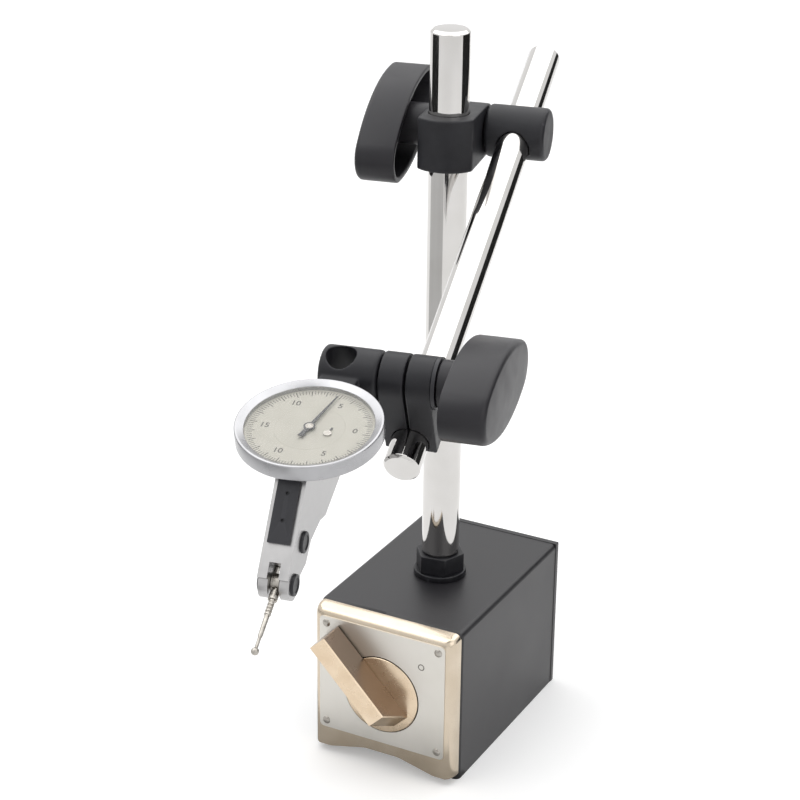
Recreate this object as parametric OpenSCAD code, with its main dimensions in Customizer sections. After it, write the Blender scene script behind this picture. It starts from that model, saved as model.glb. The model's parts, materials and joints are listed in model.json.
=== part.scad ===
// Magnetic stand with a lever test indicator, in millimetres.
// The origin is on the floor under the middle of the black base body.
// +X is to the right of the switch face, +Y to the rear, +Z up.

/* [Base] */
// Width of the magnetic base
base_w = 50; // [46:1:60]
// Depth of the black body, rear plate included
base_d = 72; // [66:1:90]
// Height of the base
base_h = 52.5; // [50:0.5:62]
// Width of the brass strip between the two pole blocks
spacer_w = 4; // [2:0.5:6]
// Thickness of the nickel front cover
cover_t = 5; // [4:0.5:8]
// How much the cover draws in at its top and sides
cover_taper = 2.5; // [0.5:0.5:3.5]
// Height of the cover's lower edge above the floor, so that only the poles touch the work
cover_lift = 2.4; // [0.4:0.2:3]
// Thickness of the rear plate
rear_t = 2; // [1.5:0.5:4]
// How far the rear plate stands proud of the body
rear_lip = 0.2; // [0.1:0.1:1]
// Half width of the vee groove under the base
groove_half = 18.5; // [14:0.5:20]
// Half width of the flat at the top of the groove
groove_flat = 6; // [3:0.5:10]
// Depth of the groove
groove_h = 3; // [1.5:0.5:4]
// Diameter of the cover and rear plate screws
screw_d = 4; // [3:0.5:5]

/* [Name plate] */
// Thickness of the bare name plate
plate_t = 0.5; // [0.4:0.1:1]
// Gap from the plate to the front edges of the cover
plate_edge = 0.3; // [0.2:0.1:1]
// Height of the lower edge of the plate above the floor
plate_low = 9.5; // [8:0.5:10.5]
// Corner radius of the name plate
plate_r = 1.5; // [0.5:0.5:3]
// Diameter of the rivet heads
rivet_d = 2.6; // [2:0.2:3]
// Distance from the plate edge to a rivet
rivet_in = 2.4; // [2:0.2:3]

/* [Switch] */
// Height of the switch axis above the floor
switch_z = 27; // [26:0.5:28]
// Diameter of the switch boss
boss_d = 26; // [24:0.5:28]
// Width of the lever bar
lever_w = 7; // [5:0.5:9]
// Reach of the lever from the axis to its handle end
lever_reach = 25.5; // [22:0.5:30]
// Reach of the lever on the other side of the axis
lever_tail = 10.5; // [8:0.5:11]
// Length of the slope at that end, from the front of the lever down to the boss
lever_slope = 5.5; // [3:0.5:8]
// How far the lever stands out from the name plate
lever_out = 10; // [7:0.5:13]
// Angle of the lever above the horizontal, to the left
lever_angle = 46; // [40:1:50]
// Diameter of the turning magnet
magnet_d = 30; // [26:0.5:32]
// Length of the turning magnet
magnet_l = 56; // [48:1:58]
// Diameter of the magnet shaft
shaft_d = 8; // [6:0.5:10]

/* [Column] */
// Diameter of the column
column_d = 12; // [10:0.5:13]
// Length of the column above the base
column_l = 179; // [170:1:220]
// Distance of the column in front of the middle of the base
column_front = 2; // [0:0.5:6]
// Diameter of the threaded foot of the column
foot_d = 10; // [8:0.5:10]
// Depth of the foot in the base
foot_l = 8; // [5:0.5:8.5]
// Outer diameter of the washer
washer_d = 17; // [16:0.5:22]
// Thickness of the washer
washer_t = 2; // [1:0.5:3]
// Hexagon nut, size across the corners
nut_d = 16.2; // [14:0.2:16.8]
// Height of the nut
nut_h = 6; // [4:0.5:8]

/* [Upper clamp] */
// Height of the clamp axis above the base
clamp_z = 145.8; // [140:0.2:155]
// Distance of the draw bar behind the column axis
stud_back = 12; // [11.5:0.5:15]
// Reach of the block to the left of the column axis
block_left = 7.5; // [7:0.5:8.5]
// Reach of the block to the right of the column axis
block_right = 9; // [8:0.5:11]
// Height of the block
block_h = 16; // [14:0.5:18]
// Radius of the round front of the block
block_r = 11; // [10:0.5:13]
// Width of the pinch slit
slit_w = 1.5; // [1:0.1:2]
// Diameter of the shank of both draw bars
shank_d = 8; // [6:0.5:8]
// Diameter of the upper swivel stub
upper_stub_d = 16; // [15:0.5:18]
// Length of the upper swivel stub
upper_stub_l = 18.6; // [17:0.2:24]

/* [Arm] */
// Diameter of the arm
arm_d = 10; // [8:0.5:10]
// Length of the arm
arm_l = 174.5; // [165:0.5:190]
// Length of the arm above the upper stub axis
arm_above = 37; // [33:1:45]
// Length of the arm beyond the lower clamp
arm_below = 16.5; // [12:0.5:20]
// Chamfer at the ends of the rods
rod_chamfer = 1; // [0.4:0.1:1.5]

/* [Lower clamp] */
// Distance from the arm axis to the lower draw bar axis
jaw_offset = 16.5; // [15.5:0.5:19]
// Radius of the round end of the jaws
jaw_r = 7; // [6:0.5:8]
// Thickness of each jaw
jaw_t = 6.8; // [6:0.2:8]
// Gap between the jaws
jaw_gap = 0.6; // [0.3:0.1:1]
// Reach of the jaws past the arm axis
jaw_wrap = 3; // [2:0.5:4]
// Diameter of the lower swivel stub
lower_stub_d = 14; // [13:0.5:15]
// Length of the lower swivel stub
lower_stub_l = 16.2; // [15.5:0.2:20]
// Diameter of the stem hole
stem_d = 8; // [6:0.5:8]
// Distance of the stem hole from the free end of the stub
stem_in = 5.6; // [5.4:0.2:7]

/* [Knobs] */
// Length of the oval knobs
knob_l = 49; // [46:1:60]
// Width of the oval knobs
knob_w = 22; // [18:0.5:24]
// Thickness of the knobs
knob_t = 13; // [11:0.5:16]
// Radius of the round tips of the knobs
knob_tip = 7.5; // [5:0.5:8]
// Wall of the hollow knobs
knob_wall = 1.8; // [1.2:0.2:2.4]
// Rounding of the outer edge of the knobs
knob_edge = 1.6; // [0.6:0.2:2.4]
// Diameter of the hub of the knobs
hub_d = 13; // [11.5:0.5:13.5]
// Length of the hub that stands out of the hollow side
hub_out = 5.2; // [3:0.1:6.5]
// Thickness of the thrust washers
thrust_t = 1; // [0.6:0.2:1.6]

/* [Indicator] */
// Diameter of the bezel
bezel_d = 37.8; // [36.8:0.2:38.4]
// Height of the bezel above the dial
bezel_up = 2; // [1.9:0.1:2.6]
// Depth of the bezel below the dial
bezel_down = 1.6; // [1.4:0.1:2.6]
// Diameter of the dial plate
dial_d = 33; // [32:0.2:33.4]
// Thickness of the dial plate
dial_t = 0.6; // [0.4:0.1:0.8]
// Diameter of the fixed centre of the dial
centre_d = 17.6; // [15:0.2:20]
// Thickness of the crystal
crystal_t = 0.6; // [0.4:0.1:0.7]
// Thickness of the indicator body
body_t = 8; // [7:0.2:9]
// Wall of the indicator body beside the mechanism
body_wall = 1.4; // [1:0.1:1.6]
// Width of the black dovetail strip
strip_w = 5.8; // [5:0.2:6.2]
// Height of the black dovetail strip
strip_t = 0.8; // [0.5:0.1:1.2]
// Width of the fork slot
fork_slot = 3; // [2.6:0.1:3.4]
// Diameter of the fork pivot
pivot_d = 1.6; // [1.2:0.1:2]
// Diameter of the pivot screw heads
head_d = 5.6; // [5:0.2:6]
// Length of the stylus from the pivot to the ball
stylus_l = 20; // [14:0.5:24]
// Diameter of the ball
ball_d = 2; // [1.5:0.1:3]
// Diameter of the stylus stem
stylus_d = 1.5; // [1:0.1:1.8]

/* [Pose] */
// Turn of the upper clamp round the column
clamp_turn = 12; // [0:1:20]
// Angle of the arm below the horizontal
arm_tilt = 24; // [15:1:35]
// Turn of the indicator against the arm
swivel_turn = 60; // [50:1:65]
// Tilt of the upper knob
upper_knob_turn = 23; // [0:1:90]
// Tilt of the lower knob
lower_knob_turn = 24; // [0:1:90]
// Angle of the stylus in front of the body axis
stylus_angle = 25; // [15:1:35]

/* [Hidden] */
$fn = 64;
eps = 0.01;
// Running clearance on a radius
run_fit = 0.05;
// Gap between faces that turn or slide past each other
face_gap = 0.3;
// Room round the magnet
magnet_gap = 0.5;

front_y = -base_d / 2;
pole_back = base_d / 2 - rear_t;
cover_y = front_y - cover_t;
plate_y = cover_y - plate_t;
column_y = -column_front;
magnet_bore = magnet_d + 2 * magnet_gap;
boss_bore = boss_d + 2 * face_gap;
plate_w = base_w - 2 * cover_taper - 2 * plate_edge;
plate_h = base_h - cover_taper - plate_edge - plate_low;
plate_zc = plate_low + plate_h / 2;
rivet_x = plate_w / 2 - rivet_in;
rivet_z = plate_h / 2 - rivet_in;
rivet_pin_d = rivet_d / 2;
rivet_pin_l = 2;
rivet_head_t = 0.5;
// Countersunk screws: height of the head, length in the pole, and places
head_t = 2;
screw_grip = 8;
screw_edge = 10;
screw_below = 12;
screw_above = 17.5;
screw_x = base_w / 2 - screw_edge;
screw_z = [switch_z - screw_below, switch_z + screw_above];
screw_room = 1;
magnet_front = 8;
magnet_y = front_y + magnet_front;
bush_t = 2;
bush_wall = 3;
bush_d = shaft_d + 2 * bush_wall;
// Height of the boss face above the name plate, where the lever bar starts
boss_up = 0.4;
// Lever seen along its width, handle end first
lever_side = [
    [-lever_reach, -lever_out],
    [lever_tail - lever_slope, -lever_out],
    [lever_tail, -boss_up],
    [lever_tail, -boss_up + eps],
    [-lever_reach, -boss_up + eps],
];
pin_d = 2;
pin_in = 5;
pin_y = magnet_y + pin_in;
pin_end_room = 2;
pin_l = magnet_d - 2 * pin_end_room;
nut_turn = 8;

stud_z = base_h + clamp_z;
stub_chamfer = 0.8;
arm_inward = 0.1;
upper_stub_x = block_right + face_gap;
arm_x = upper_stub_x + upper_stub_l / 2 - arm_inward;
arm_down = arm_l - arm_above;
jaw_s = arm_down - arm_below;
jaw_out = jaw_gap / 2 + jaw_t;
lower_stub_x = -jaw_out - face_gap;
lower_end_x = lower_stub_x - lower_stub_l;
stem_x = lower_end_x + stem_in;
stem_turn = 61;
shank_bore = shank_d + 2 * run_fit;
hub_gap = 0.2;
insert_wall = 1;
insert_d = shank_d + 2 * insert_wall;
insert_l = 8;
// How far the thrust washers stand proud of the hubs
thrust_lip = 0.5;
thrust_d = hub_d + 2 * thrust_lip;
// Room past the end of a shank in its knob
shank_room = 0.5;
knob_arc = (pow(knob_l / 2 - knob_tip, 2) + pow(knob_w / 2, 2) - pow(knob_tip, 2))
    / (2 * (knob_w / 2 - knob_tip));
knob_tip_y = knob_l / 2 - knob_tip;
knob_join = knob_tip_y * knob_arc / (knob_arc - knob_tip);
knob_roof = 2.4;

// Indicator, in its own frame: dial centre at the origin, body axis along Z,
// Y to the rear, pivot axis along X.
dial_tilt = 48.7;
ind_x = -17.3;
ind_y = -23.9;
ind_z = -20.6;
body_front = -7.5;
body_rear = 20.7;
body_top = 7;
top_l = 8;
// Rear edge of the body from the fork up to the shoulder under the housing
rear_edge = [[1.9, -36.5], [4.8, -33.2], [5.6, -27.1], [10.3, -21.2], [14.3, -19], [body_rear, -7.8]];
pivot_y = -2.1;
pivot_z = -39.7;
fork_r = 4;
fork_top = -35.6;
strip_top = -15.2;
strip_low = -31;
strip_lean = 0.4;
strip_screw_d = 1.2;
strip_screw_l = 1.8;
strip_screw_in = [3.2, 10];
strip_screw_z = [for (inward = strip_screw_in) strip_top - inward];
side_screw_y = -0.6;
side_screw_z = -28.7;
screw_head_t = 0.7;
// Depths below the dial: top of the flat body, and bottom of the round housing
under_w = 4;
drum_r = 14;
drum_w = 6;
bezel_wall = 2;
flange_r = bezel_d / 2 - bezel_wall;
// Dovetail rail at the rear top of the body and the jaw that grips it
rail_y = 19;
rail_low = 3.4;
rail_high = 4.8;
rail_h = 2.8;
jaw_wall = 1.5;
grip_back_wall = 3;
grip_side = 1;
grip_w = body_t + 2 * grip_side;
grip_screw_d = 3;
grip_head_d = 4.6;
grip_head_t = 3;
grip_z = ind_z + body_top;
grip_y = ind_y + rail_y;
grip_back = grip_y + rail_high / 2 + grip_back_wall;
// Gear train: the lever drives the cross arbor, its crown wheel drives the pointer
arbor_d = 1;
arbor_w = 9.5;
pinion_r = 1;
pinion_l = 2;
crown_w = 12;
crown_r = 4.3;
crown_t = 0.6;
train_gap = 0.15;
crown_y = crown_w * sin(dial_tilt);
crown_z = -crown_w * cos(dial_tilt);
sector_dir = atan2(crown_y - pivot_y, crown_z - pivot_z);
sector_l = norm([crown_y - pivot_y, crown_z - pivot_z]);
sector_tip = sector_l - pinion_r - train_gap;
sector_t = 0.45;
sector_w = 1.6;
sector_x = -fork_slot / 2 + train_gap;
pocket_half = body_t / 2 - body_wall;
pocket_w = 3.8;
pocket_start = 4;
crown_room = 1;
// Stylus: hub between the fork tines, collar and stem
holder_t = 1.6;
holder_r = 2.2;
collar_d = 2.4;
collar_start = 2.8;
collar_end = 5.2;
stem_seat = 2;
stem_bore = 1;
stylus_tip_d = 0.9;
// Bezel: lowest edge and chamfers
bezel_lip = 0.6;
bezel_low = bezel_down + face_gap + bezel_lip;
bezel_chamfer = 0.5;
// Hands, one above the other under the crystal
hand_gap = 0.15;
counter_t = 0.2;
counter_z = hand_gap;
pointer_t = 0.25;
pointer_z = counter_z + counter_t + hand_gap;
arbor_proud = 0.1;
arbor_top = pointer_z + pointer_t + arbor_proud;
crystal_z = arbor_top + hand_gap;
pointer_turn = 13;
pointer_tail = 4.5;
pointer_tail_w = 1.4;
pointer_mid_w = 0.9;
pointer_tip_w = 0.3;
pointer_hub_r = 1.5;
pointer_in = 2.5;
// Turn counter: place on the dial, arbor, hub and hand
counter_x = 5.1;
counter_y = -1.4;
counter_turn = 15;
counter_d = 0.8;
counter_deep = 3;
counter_hub_r = 0.9;
counter_l = 2.4;
counter_w = 0.4;
// Gap between the turning dial and its fixed centre
centre_gap = 0.15;

BLACK = "#2b2b2e";
CHROME = "#d4d6d8";
NICKEL = "#d8c6a4";
SATIN = "#c9cacb";
BRASS = "#b8964e";
STEEL = "#8d9094";
CREAM = "#e6e1cf";
INK = "#1c1c1e";

// Frames of the moving parts

module at_upper() {
    translate([0, column_y, stud_z]) rotate([0, 0, clamp_turn]) translate([0, stud_back, 0]) children();
}

module at_arm() {
    at_upper() translate([arm_x, 0, 0]) rotate([arm_tilt, 0, 0]) children();
}

module at_lower() {
    at_arm() translate([0, -jaw_s, jaw_offset]) children();
}

module at_swivel() {
    at_lower() rotate([-swivel_turn, 0, 0]) children();
}

module at_indicator() {
    at_swivel() translate([ind_x, ind_y, ind_z]) children();
}

module at_dial() {
    at_indicator() rotate([dial_tilt, 0, 0]) children();
}

// Helpers

module along_x() {
    rotate([0, 90, 0]) children();
}

module along_y() {
    rotate([-90, 0, 0]) children();
}

module tube(outer, inner, height) {
    difference() {
        cylinder(d = outer, h = height);
        translate([0, 0, -1]) cylinder(d = inner, h = height + 2);
    }
}

module rod(diameter, length, chamfer) {
    rotate_extrude() polygon([
        [0, 0], [diameter / 2 - chamfer, 0], [diameter / 2, chamfer],
        [diameter / 2, length - chamfer], [diameter / 2 - chamfer, length], [0, length]
    ]);
}

module countersunk(length) {
    rotate_extrude() polygon([
        [0, 0], [screw_d, 0], [screw_d / 2, head_t], [screw_d / 2, length], [0, length]
    ]);
}

// Room for a countersunk screw: its cone runs on past the face, so that the cut doesn't end on it
module countersunk_hole(length) {
    rotate_extrude() polygon([
        [0, -head_t], [1.5 * screw_d, -head_t], [screw_d / 2, head_t], [screw_d / 2, length], [0, length]
    ]);
}

module screw_places(y) {
    for (x = [-screw_x, screw_x], z = screw_z) translate([x, y, z]) children();
}

module rivet_places(y) {
    for (x = [-rivet_x, rivet_x], z = [-rivet_z, rivet_z]) translate([x, y, plate_zc + z]) children();
}

module groove() {
    translate([0, base_d, 0]) rotate([90, 0, 0]) linear_extrude(2 * base_d) polygon([
        [-groove_half - groove_h, -groove_h], [-groove_half, 0], [-groove_flat, groove_h],
        [groove_flat, groove_h], [groove_half, 0], [groove_half + groove_h, -groove_h]
    ]);
}

module switch_bore(diameter, y, length) {
    translate([0, y, switch_z]) along_y() cylinder(d = diameter, h = length);
}

// Base

module base_block() {
    difference() {
        translate([-base_w / 2, front_y, 0]) cube([base_w, pole_back - front_y, base_h]);
        groove();
        switch_bore(magnet_bore, front_y - 1, base_d);
        translate([0, column_y, base_h - foot_l - 1]) cylinder(d = foot_d + 2 * run_fit, h = foot_l + 2);
        screw_places(front_y - 1) along_y() cylinder(d = screw_d, h = 1 + screw_grip + screw_room);
        screw_places(pole_back + 1) rotate([90, 0, 0]) cylinder(d = screw_d, h = 1 + screw_grip + screw_room);
    }
}

module left_pole() {
    color(BLACK) intersection() {
        base_block();
        translate([-base_w, -base_d, -1]) cube([base_w - spacer_w / 2, 2 * base_d, base_h + 2]);
    }
}

module right_pole() {
    color(BLACK) intersection() {
        base_block();
        translate([spacer_w / 2, -base_d, -1]) cube([base_w, 2 * base_d, base_h + 2]);
    }
}

module brass_spacer() {
    color(BRASS) intersection() {
        base_block();
        translate([-spacer_w / 2, -base_d, -1]) cube([spacer_w, 2 * base_d, base_h + 2]);
    }
}

// Cover that draws in towards its front at the top and the two sides
module tapered_cover() {
    intersection() {
        linear_extrude(base_h) polygon([
            [-base_w / 2, front_y], [-base_w / 2 + cover_taper, cover_y],
            [base_w / 2 - cover_taper, cover_y], [base_w / 2, front_y]
        ]);
        translate([-base_w, 0, 0]) rotate([90, 0, 90]) linear_extrude(2 * base_w) polygon([
            [front_y, cover_lift], [front_y, base_h], [cover_y, base_h - cover_taper], [cover_y, cover_lift]
        ]);
    }
}

module front_cover() {
    color(NICKEL) difference() {
        tapered_cover();
        translate([0, 0, cover_lift]) groove();
        switch_bore(boss_bore, cover_y - 1, 1 + cover_t - bush_t);
        switch_bore(bush_d, cover_y, cover_t + 1);
        screw_places(cover_y) along_y() countersunk_hole(cover_t + 1);
        rivet_places(cover_y - 1) along_y() cylinder(d = rivet_pin_d, h = 1 + rivet_pin_l);
    }
}

module cover_screws() {
    color(STEEL) screw_places(cover_y) along_y() countersunk(cover_t + screw_grip);
}

module plate_outline() {
    w = plate_w / 2 - plate_r;
    h = plate_h / 2 - plate_r;
    square([plate_w, 2 * h], center = true);
    square([2 * w, plate_h], center = true);
    for (x = [-w, w], y = [-h, h]) translate([x, y]) circle(r = plate_r);
}

module name_plate() {
    color(SATIN) difference() {
        translate([0, cover_y, plate_zc]) rotate([90, 0, 0]) linear_extrude(plate_t) plate_outline();
        switch_bore(boss_bore, plate_y - 1, plate_t + 2);
        rivet_places(plate_y - 1) along_y() cylinder(d = rivet_pin_d, h = plate_t + 2);
    }
}

module plate_rivets() {
    color(STEEL) rivet_places(plate_y) rotate([90, 0, 0]) {
        cylinder(d1 = rivet_d, d2 = rivet_pin_d, h = rivet_head_t);
        translate([0, 0, -plate_t - rivet_pin_l]) cylinder(d = rivet_pin_d, h = plate_t + rivet_pin_l + eps);
    }
}

module rear_plate() {
    w = base_w + 2 * rear_lip;
    color(BLACK) difference() {
        translate([-w / 2, pole_back, 0]) cube([w, rear_t, base_h + rear_lip]);
        groove();
        switch_bore(bush_d, pole_back - 1, rear_t + 2);
        screw_places(pole_back + rear_t) rotate([90, 0, 0]) countersunk_hole(rear_t + screw_grip);
    }
}

module rear_screws() {
    color(STEEL) screw_places(pole_back + rear_t) rotate([90, 0, 0]) countersunk(rear_t + screw_grip);
}

module front_bush() {
    color(BRASS) translate([0, front_y - bush_t, switch_z]) along_y()
        tube(bush_d, shaft_d + 2 * run_fit, bush_t);
}

module rear_bush() {
    color(BRASS) translate([0, pole_back, switch_z]) along_y()
        tube(bush_d, shaft_d + 2 * run_fit, rear_t);
}

module column_washer() {
    color(BLACK) translate([0, column_y, base_h]) tube(washer_d, foot_d + 2 * run_fit, washer_t);
}

module column_nut() {
    color(BLACK) translate([0, column_y, base_h + washer_t]) difference() {
        rotate([0, 0, nut_turn]) cylinder(d = nut_d, h = nut_h, $fn = 6);
        translate([0, 0, -1]) cylinder(d = foot_d + 2 * run_fit, h = nut_h + 2);
    }
}

// Switch

module switch_knob() {
    boss_h = plate_t + cover_t - bush_t - face_gap;
    color(NICKEL) translate([0, plate_y, switch_z]) difference() {
        union() {
            translate([0, -boss_up, 0]) along_y() cylinder(d = boss_d, h = boss_up + boss_h);
            rotate([0, lever_angle, 0]) linear_extrude(lever_w, center = true) polygon(lever_side);
        }
        along_y() cylinder(d = shaft_d, h = boss_h + 1);
    }
}

module pin_bar(length) {
    translate([0, pin_y, switch_z]) along_x() cylinder(d = pin_d, h = length, center = true);
}

module magnet_rotor() {
    color(STEEL) difference() {
        translate([0, magnet_y, switch_z]) along_y() tube(magnet_d, shaft_d, magnet_l);
        pin_bar(pin_l);
    }
}

module magnet_shaft() {
    color(STEEL) difference() {
        translate([0, plate_y, switch_z]) along_y() cylinder(d = shaft_d, h = base_d / 2 - plate_y);
        pin_bar(pin_l);
    }
}

module drive_pin() {
    color(STEEL) pin_bar(pin_l);
}

// Column

module column() {
    shoulder_z = base_h + washer_t + nut_h + face_gap;
    color(CHROME) translate([0, column_y, 0]) {
        translate([0, 0, shoulder_z]) rod(column_d, base_h + column_l - shoulder_z, rod_chamfer);
        translate([0, 0, base_h - foot_l]) cylinder(d = foot_d, h = shoulder_z - base_h + foot_l + eps);
    }
}

// Upper clamp: x along the draw bar, column axis stud_back in front of it

module upper_clamp_block() {
    color(BLACK) at_upper() difference() {
        union() {
            translate([0, 0, -block_h / 2]) linear_extrude(block_h) {
                translate([-block_left, -stud_back]) square([block_left + block_right, stud_back]);
                intersection() {
                    translate([0, -stud_back]) circle(r = block_r);
                    translate([-block_left, -stud_back - block_r])
                        square([block_left + block_right, block_r + eps]);
                }
            }
            translate([-block_left, 0, 0]) along_x() cylinder(d = block_h, h = block_left + block_right);
        }
        translate([0, -stud_back, -block_h]) cylinder(d = column_d + 2 * run_fit, h = 2 * block_h);
        along_x() cylinder(d = shank_bore, h = 4 * block_h, center = true);
        translate([-slit_w / 2, -stud_back, -block_h]) cube([slit_w, stud_back + block_h, 2 * block_h]);
    }
}

module upper_drawbar() {
    shank_l = block_left + thrust_t + hub_gap + hub_out + insert_l - shank_room;
    color(BLACK) at_upper() {
        difference() {
            translate([upper_stub_x, 0, 0]) along_x() rod(upper_stub_d, upper_stub_l, stub_chamfer);
            translate([arm_x, 0, 0]) rotate([arm_tilt, 0, 0]) along_y()
                cylinder(d = arm_d + 2 * run_fit, h = 3 * upper_stub_d, center = true);
        }
        translate([-shank_l, 0, 0]) along_x() cylinder(d = shank_d, h = shank_l + upper_stub_x + eps);
    }
}

module upper_thrust_washer() {
    color(BLACK) at_upper() translate([-block_left - thrust_t, 0, 0]) along_x()
        tube(thrust_d, shank_bore, thrust_t);
}

// Oval knob outline: two long arcs joined by round tips, long axis along y
module knob_outline(inset) {
    arc_x = knob_arc - knob_w / 2;
    intersection() {
        translate([-arc_x, 0]) circle(r = knob_arc - inset, $fn = 180);
        translate([arc_x, 0]) circle(r = knob_arc - inset, $fn = 180);
        square([2 * knob_w, 2 * knob_join], center = true);
    }
    for (y = [-knob_tip_y, knob_tip_y]) translate([0, y]) circle(r = knob_tip - inset);
}

// Knob along +z: hub end at z = 0, hollow side towards the clamp
module knob() {
    difference() {
        translate([0, 0, hub_out]) {
            linear_extrude(knob_t - knob_edge) knob_outline(0);
            linear_extrude(knob_t - knob_edge / 2) knob_outline(knob_edge / 4);
            linear_extrude(knob_t) knob_outline(knob_edge);
        }
        difference() {
            translate([0, 0, hub_out - 1]) linear_extrude(knob_t - knob_roof + 1) knob_outline(knob_wall);
            cylinder(d = hub_d, h = hub_out + knob_t);
        }
        translate([0, 0, -1]) cylinder(d = insert_d, h = hub_out + insert_l + 1);
    }
    tube(hub_d, insert_d, hub_out + eps);
}

module knob_insert() {
    tube(insert_d, shank_bore, hub_out + insert_l);
}

module at_upper_knob() {
    at_upper() translate([-block_left - thrust_t - hub_gap, 0, 0]) rotate([0, -90, 0])
        rotate([0, 0, -upper_knob_turn]) children();
}

module upper_knob() {
    color(BLACK) at_upper_knob() knob();
}

module upper_knob_insert() {
    color(BRASS) at_upper_knob() knob_insert();
}

// Arm, along the y axis of its own frame

module arm() {
    color(CHROME) at_arm() translate([0, -arm_down, 0]) along_y() rod(arm_d, arm_l, rod_chamfer);
}

// Lower clamp: x along the draw bar, arm axis jaw_offset below it

module jaw(side) {
    length = jaw_offset + jaw_wrap;
    difference() {
        translate([side > 0 ? jaw_gap / 2 : -jaw_out, 0, 0]) {
            along_x() cylinder(r = jaw_r, h = jaw_t);
            translate([0, -jaw_r, -length]) cube([jaw_t, 2 * jaw_r, length]);
        }
        along_x() cylinder(d = shank_bore, h = 6 * jaw_t, center = true);
        translate([0, 0, -jaw_offset]) along_y() cylinder(d = arm_d + 2 * run_fit, h = 6 * jaw_r, center = true);
    }
}

module left_jaw() {
    color(BLACK) at_lower() jaw(-1);
}

module right_jaw() {
    color(BLACK) at_lower() jaw(1);
}

module lower_thrust_washer() {
    color(BLACK) at_lower() translate([jaw_out, 0, 0]) along_x() tube(thrust_d, shank_bore, thrust_t);
}

module at_lower_knob() {
    at_lower() translate([jaw_out + thrust_t + hub_gap, 0, 0]) rotate([0, 90, 0])
        rotate([0, 0, -lower_knob_turn]) children();
}

module lower_knob() {
    color(BLACK) at_lower_knob() knob();
}

module lower_knob_insert() {
    color(BRASS) at_lower_knob() knob_insert();
}

module lower_drawbar() {
    shank_l = jaw_out + thrust_t + hub_gap + hub_out + insert_l - shank_room;
    grip_front = grip_y - rail_high / 2 - jaw_wall;
    color(BLACK) at_swivel() difference() {
        union() {
            translate([lower_end_x, 0, 0]) along_x() rod(lower_stub_d, lower_stub_l, stub_chamfer);
            translate([lower_stub_x - eps, 0, 0]) along_x() cylinder(d = shank_d, h = shank_l - lower_stub_x);
            translate([ind_x, 0, 0]) slab(grip_w) polygon([
                [grip_front, grip_z + hub_gap], [grip_back, grip_z + hub_gap], [grip_back, 0],
                [-lower_stub_d / 4, 0], [-lower_stub_d / 2, -lower_stub_d / 4],
                [grip_front, grip_z + rail_h + 2 * jaw_wall]
            ]);
        }
        translate([stem_x, 0, 0]) rotate([stem_turn, 0, 0])
            cylinder(d = stem_d, h = 3 * lower_stub_d, center = true);
        translate([ind_x, grip_y, grip_z]) slab(2 * grip_w) rail_outline(run_fit);
        translate([ind_x, grip_y, grip_z + rail_h / 2]) along_y()
            cylinder(d = grip_screw_d, h = 2 * (grip_back - grip_y));
    }
}

// Cross section of the dovetail rail, standing on y = 0 and grown by a clearance
module rail_outline(grow) {
    polygon([
        [-rail_low / 2 - grow, -grow], [rail_low / 2 + grow, -grow],
        [rail_high / 2 + grow, rail_h + grow], [-rail_high / 2 - grow, rail_h + grow]
    ]);
}

module dovetail_screw() {
    tip_y = grip_y + rail_high / 2 + run_fit;
    color(STEEL) at_swivel() translate([ind_x, tip_y, grip_z + rail_h / 2]) along_y() {
        cylinder(d = grip_screw_d, h = grip_back - tip_y + face_gap + eps);
        translate([0, 0, grip_back - tip_y + face_gap]) cylinder(d = grip_head_d, h = grip_head_t);
    }
}

// Indicator body

// Side outline of the body, with the round end of the fork about the pivot
module body_profile() {
    front_top = body_front * tan(dial_tilt) - under_w / cos(dial_tilt);
    polygon(concat(
        [[body_front, front_top], [body_front, pivot_z], [pivot_y + fork_r, pivot_z]],
        rear_edge,
        [[body_rear, body_top], [body_rear - top_l, body_top]]
    ));
    translate([pivot_y, pivot_z]) circle(r = fork_r);
}

// Room for the mechanism: along the sector lever and round the crown wheel
module pocket_profile() {
    translate([pivot_y, pivot_z]) rotate(-sector_dir) translate([-pocket_w / 2, pocket_start])
        square([pocket_w, sector_l - pocket_start]);
    translate([crown_y, crown_z]) circle(r = crown_r + crown_room);
}

// Plate across the x axis, with the outline in the y-z plane
module slab(thickness) {
    rotate([90, 0, 90]) linear_extrude(thickness, center = true) children();
}

module strip_screw_places(y) {
    for (z = strip_screw_z) translate([0, y, z]) along_y() children();
}

module indicator_body() {
    color(SATIN) difference() {
        union() {
            at_indicator() slab(body_t) body_profile();
            at_indicator() translate([0, rail_y, body_top - eps]) slab(body_t) rail_outline(0);
            at_dial() translate([0, 0, -drum_w]) cylinder(r = drum_r, h = drum_w - bezel_down + eps);
            at_dial() translate([0, 0, -bezel_down]) cylinder(r = flange_r, h = bezel_down - dial_t - face_gap);
        }
        at_indicator() {
            slab(2 * pocket_half) pocket_profile();
            slab(fork_slot) translate([pivot_y - 2 * fork_r, fork_top - 4 * fork_r]) square(4 * fork_r);
            translate([0, pivot_y, pivot_z]) along_x() cylinder(d = pivot_d, h = 2 * body_t, center = true);
            translate([0, side_screw_y, side_screw_z]) along_x() cylinder(d = pivot_d, h = body_t);
            translate([0, crown_y, crown_z]) along_x()
                cylinder(d = arbor_d + 2 * run_fit, h = body_t - body_wall + 2 * train_gap, center = true);
            strip_screw_places(body_front - 1) cylinder(d = strip_screw_d, h = 1 + strip_screw_l);
        }
        at_dial() translate([0, 0, -arbor_w - 1]) cylinder(r = pinion_r + face_gap, h = arbor_w + 2);
        at_dial() translate([counter_x, counter_y, -counter_deep - face_gap])
            cylinder(d = counter_d + 2 * run_fit, h = counter_deep + 1);
    }
}

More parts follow.
